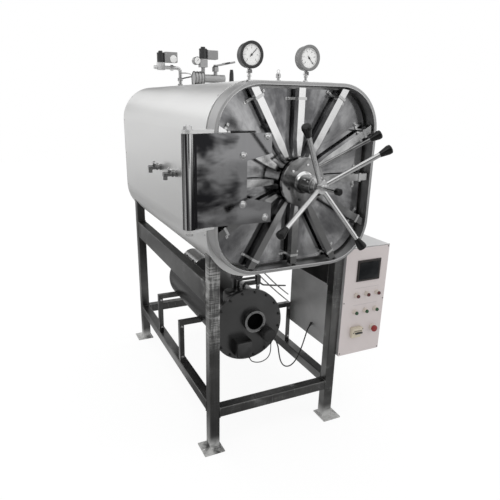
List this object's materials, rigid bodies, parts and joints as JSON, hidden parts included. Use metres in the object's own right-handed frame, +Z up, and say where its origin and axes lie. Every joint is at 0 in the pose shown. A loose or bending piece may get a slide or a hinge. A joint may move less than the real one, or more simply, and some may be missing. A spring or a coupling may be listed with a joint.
{
  "type": "horizontal_autoclave",
  "caption": "Box-shaped steam autoclave on a tube frame; the door locks by radial bars thrown by a lever at the hub, with a boiler underneath and a control box at the side",
  "frame": {"origin": "floor level, centre of the four anchor holes in the foot plates", "axes": "+X to the right of a person facing the door, -Y toward that person, +Z up"},
  "size_m": [1.298, 2.1243, 2.198],
  "materials": {
    "jacket_steel": "satin",
    "ring_steel": "satin",
    "polished_steel": "polished",
    "frame_steel": "brushed",
    "boiler_steel": "brushed",
    "white_rubber": "matte",
    "black_plastic": "glossy",
    "panel_paint": "satin",
    "screen_glass": "glossy",
    "red_lens": "glossy",
    "green_button": "glossy",
    "red_plastic": "glossy",
    "beige_plastic": "matte",
    "grey_plastic": "matte",
    "cable_rubber": "matte"
  },
  "bodies": {
    "root": {"boiler_brackets": "boiler_steel", "boiler_fittings": "boiler_steel", "boiler_front_flange": "boiler_steel", "boiler_rear_end": "boiler_steel", "boiler_shell": "boiler_steel", "breaker": "beige_plastic", "cable_heater_loop": "cable_rubber", "cable_supply_loop": "cable_rubber", "chamber_back": "ring_steel", "chamber_shell": "ring_steel", "cock_bodies": "ring_steel", "condensate_drum": "boiler_steel", "control_box": "jacket_steel", "door_gasket": "white_rubber", "door_ring": "ring_steel", "emergency_stop": "red_plastic", "heater_heads": "boiler_steel", "hinge_lugs": "ring_steel", "hinge_pin": "ring_steel", "jacket_cladding": "jacket_steel", "leg_front_left": "frame_steel", "leg_front_right": "frame_steel", "leg_rear_left": "frame_steel", "leg_rear_right": "frame_steel", "lower_rails": "frame_steel", "panel_face": "panel_paint", "pilot_lamps": "red_lens", "pressure_gauges": "ring_steel", "push_buttons": "green_button", "rear_end": "jacket_steel", "safety_valves": "ring_steel", "solenoid_coils": "black_plastic", "steam_valve": "ring_steel", "switch_boxes": "grey_plastic", "touch_screen": "screen_glass", "upper_rails": "frame_steel", "vent_valves": "ring_steel"},
    "door": {"door_plate": "polished_steel", "bar_guides": "polished_steel", "hub_barrel": "polished_steel", "hinge_yoke": "polished_steel"},
    "lock_lever_body": {"lock_lever": "polished_steel", "lever_knob": "black_plastic"},
    "star": {"star_handle": "polished_steel", "star_knobs": "black_plastic"},
    "slide_bar_01": {"bar_01": "polished_steel"},
    "slide_bar_02": {"bar_02": "polished_steel"},
    "slide_bar_03": {"bar_03": "polished_steel"},
    "slide_bar_04": {"bar_04": "polished_steel"},
    "slide_bar_05": {"bar_05": "polished_steel"},
    "slide_bar_06": {"bar_06": "polished_steel"},
    "slide_bar_07": {"bar_07": "polished_steel"},
    "slide_bar_08": {"bar_08": "polished_steel"},
    "slide_bar_09": {"bar_09": "polished_steel"},
    "slide_bar_10": {"bar_10": "polished_steel"},
    "slide_bar_11": {"bar_11": "polished_steel"},
    "slide_bar_12": {"bar_12": "polished_steel"},
    "cock_front": {"cock_lever_front": "black_plastic"},
    "cock_rear": {"cock_lever_rear": "black_plastic"}
  },
  "joints": [
    {"name": "door_swing", "type": "hinge", "parent": "root", "child": "door", "pos_m": [-0.56, -0.925, 1.522], "axis": [0, 0, -1], "range_deg": [0, 110]},
    {"name": "lock_turn", "type": "hinge", "parent": "door", "child": "lock_lever_body", "pos_m": [0, -0.952, 1.522], "axis": [0, -1, 0], "range_deg": [0, 60]},
    {"name": "bar_slide_01", "type": "slide", "parent": "door", "child": "slide_bar_01", "axis": [1, 0, 0], "range_m": [0, 0.016]},
    {"name": "bar_slide_02", "type": "slide", "parent": "door", "child": "slide_bar_02", "axis": [0.866, 0, 0.5], "range_m": [0, 0.016]},
    {"name": "bar_slide_03", "type": "slide", "parent": "door", "child": "slide_bar_03", "axis": [0.5, 0, 0.866], "range_m": [0, 0.016]},
    {"name": "bar_slide_04", "type": "slide", "parent": "door", "child": "slide_bar_04", "axis": [0, 0, 1], "range_m": [0, 0.016]},
    {"name": "bar_slide_05", "type": "slide", "parent": "door", "child": "slide_bar_05", "axis": [-0.5, 0, 0.866], "range_m": [0, 0.016]},
    {"name": "bar_slide_06", "type": "slide", "parent": "door", "child": "slide_bar_06", "axis": [-0.866, 0, 0.5], "range_m": [0, 0.016]},
    {"name": "bar_slide_07", "type": "slide", "parent": "door", "child": "slide_bar_07", "axis": [-1, 0, 0], "range_m": [0, 0.016]},
    {"name": "bar_slide_08", "type": "slide", "parent": "door", "child": "slide_bar_08", "axis": [-0.866, 0, -0.5], "range_m": [0, 0.016]},
    {"name": "bar_slide_09", "type": "slide", "parent": "door", "child": "slide_bar_09", "axis": [-0.5, 0, -0.866], "range_m": [0, 0.016]},
    {"name": "bar_slide_10", "type": "slide", "parent": "door", "child": "slide_bar_10", "axis": [0, 0, -1], "range_m": [0, 0.016]},
    {"name": "bar_slide_11", "type": "slide", "parent": "door", "child": "slide_bar_11", "axis": [0.5, 0, -0.866], "range_m": [0, 0.016]},
    {"name": "bar_slide_12", "type": "slide", "parent": "door", "child": "slide_bar_12", "axis": [0.866, 0, -0.5], "range_m": [0, 0.016]},
    {"name": "star_turn", "type": "hinge", "parent": "door", "child": "star", "pos_m": [0, -1.093, 1.522], "axis": [0, -1, 0], "continuous": true},
    {"name": "cock_front_turn", "type": "hinge", "parent": "root", "child": "cock_front", "pos_m": [-0.4799, -0.385, 1.536], "axis": [0, 0, -1], "range_deg": [0, 90]},
    {"name": "cock_rear_turn", "type": "hinge", "parent": "root", "child": "cock_rear", "pos_m": [-0.4799, -0.085, 1.536], "axis": [0, 0, -1], "range_deg": [0, 90]}
  ],
  "couplings": [
    {"joint": "bar_slide_01", "follows": "lock_turn", "m_per_rad": 0.015183},
    {"joint": "bar_slide_02", "follows": "lock_turn", "m_per_rad": 0.015183},
    {"joint": "bar_slide_03", "follows": "lock_turn", "m_per_rad": 0.015183},
    {"joint": "bar_slide_04", "follows": "lock_turn", "m_per_rad": 0.015183},
    {"joint": "bar_slide_05", "follows": "lock_turn", "m_per_rad": 0.015183},
    {"joint": "bar_slide_06", "follows": "lock_turn", "m_per_rad": 0.015183},
    {"joint": "bar_slide_07", "follows": "lock_turn", "m_per_rad": 0.015183},
    {"joint": "bar_slide_08", "follows": "lock_turn", "m_per_rad": 0.015183},
    {"joint": "bar_slide_09", "follows": "lock_turn", "m_per_rad": 0.015183},
    {"joint": "bar_slide_10", "follows": "lock_turn", "m_per_rad": 0.015183},
    {"joint": "bar_slide_11", "follows": "lock_turn", "m_per_rad": 0.015183},
    {"joint": "bar_slide_12", "follows": "lock_turn", "m_per_rad": 0.015183}
  ]
}
